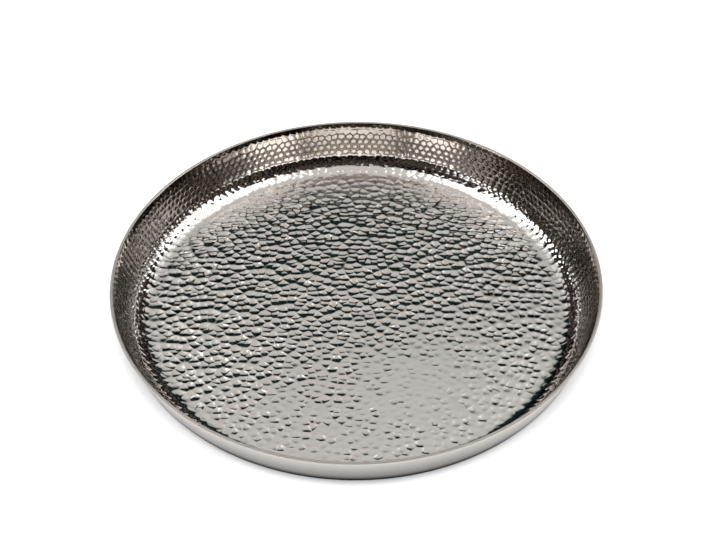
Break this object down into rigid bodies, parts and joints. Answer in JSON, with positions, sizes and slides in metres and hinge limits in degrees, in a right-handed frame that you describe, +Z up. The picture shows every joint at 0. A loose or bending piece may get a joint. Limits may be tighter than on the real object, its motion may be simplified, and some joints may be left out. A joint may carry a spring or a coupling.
{
  "type": "round serving tray",
  "caption": "Round metal serving tray: a hammered dished liner rolled over a rim wire onto a smooth flared outer shell, standing on low rubber feet.",
  "frame": {"origin": "on the table, under the centre of the tray", "axes": "+Z up along the tray's axis of turning; X and Y lie in the table, with the feet between them"},
  "size_m": [0.38, 0.38, 0.0406],
  "materials": {
    "polished_nickel": "polished, hammered all over with small round dents",
    "satin_nickel": "satin, brushed round the wall",
    "steel_wire": "drawn wire, hidden in the rolled rim",
    "black_rubber": "matt moulded rubber"
  },
  "bodies": {
    "root": {"hammered_liner": "polished_nickel", "outer_shell": "satin_nickel", "rim_wire": "steel_wire", "base_foot_1": "black_rubber", "base_foot_2": "black_rubber", "base_foot_3": "black_rubber", "base_foot_4": "black_rubber"}
  },
  "joints": []
}
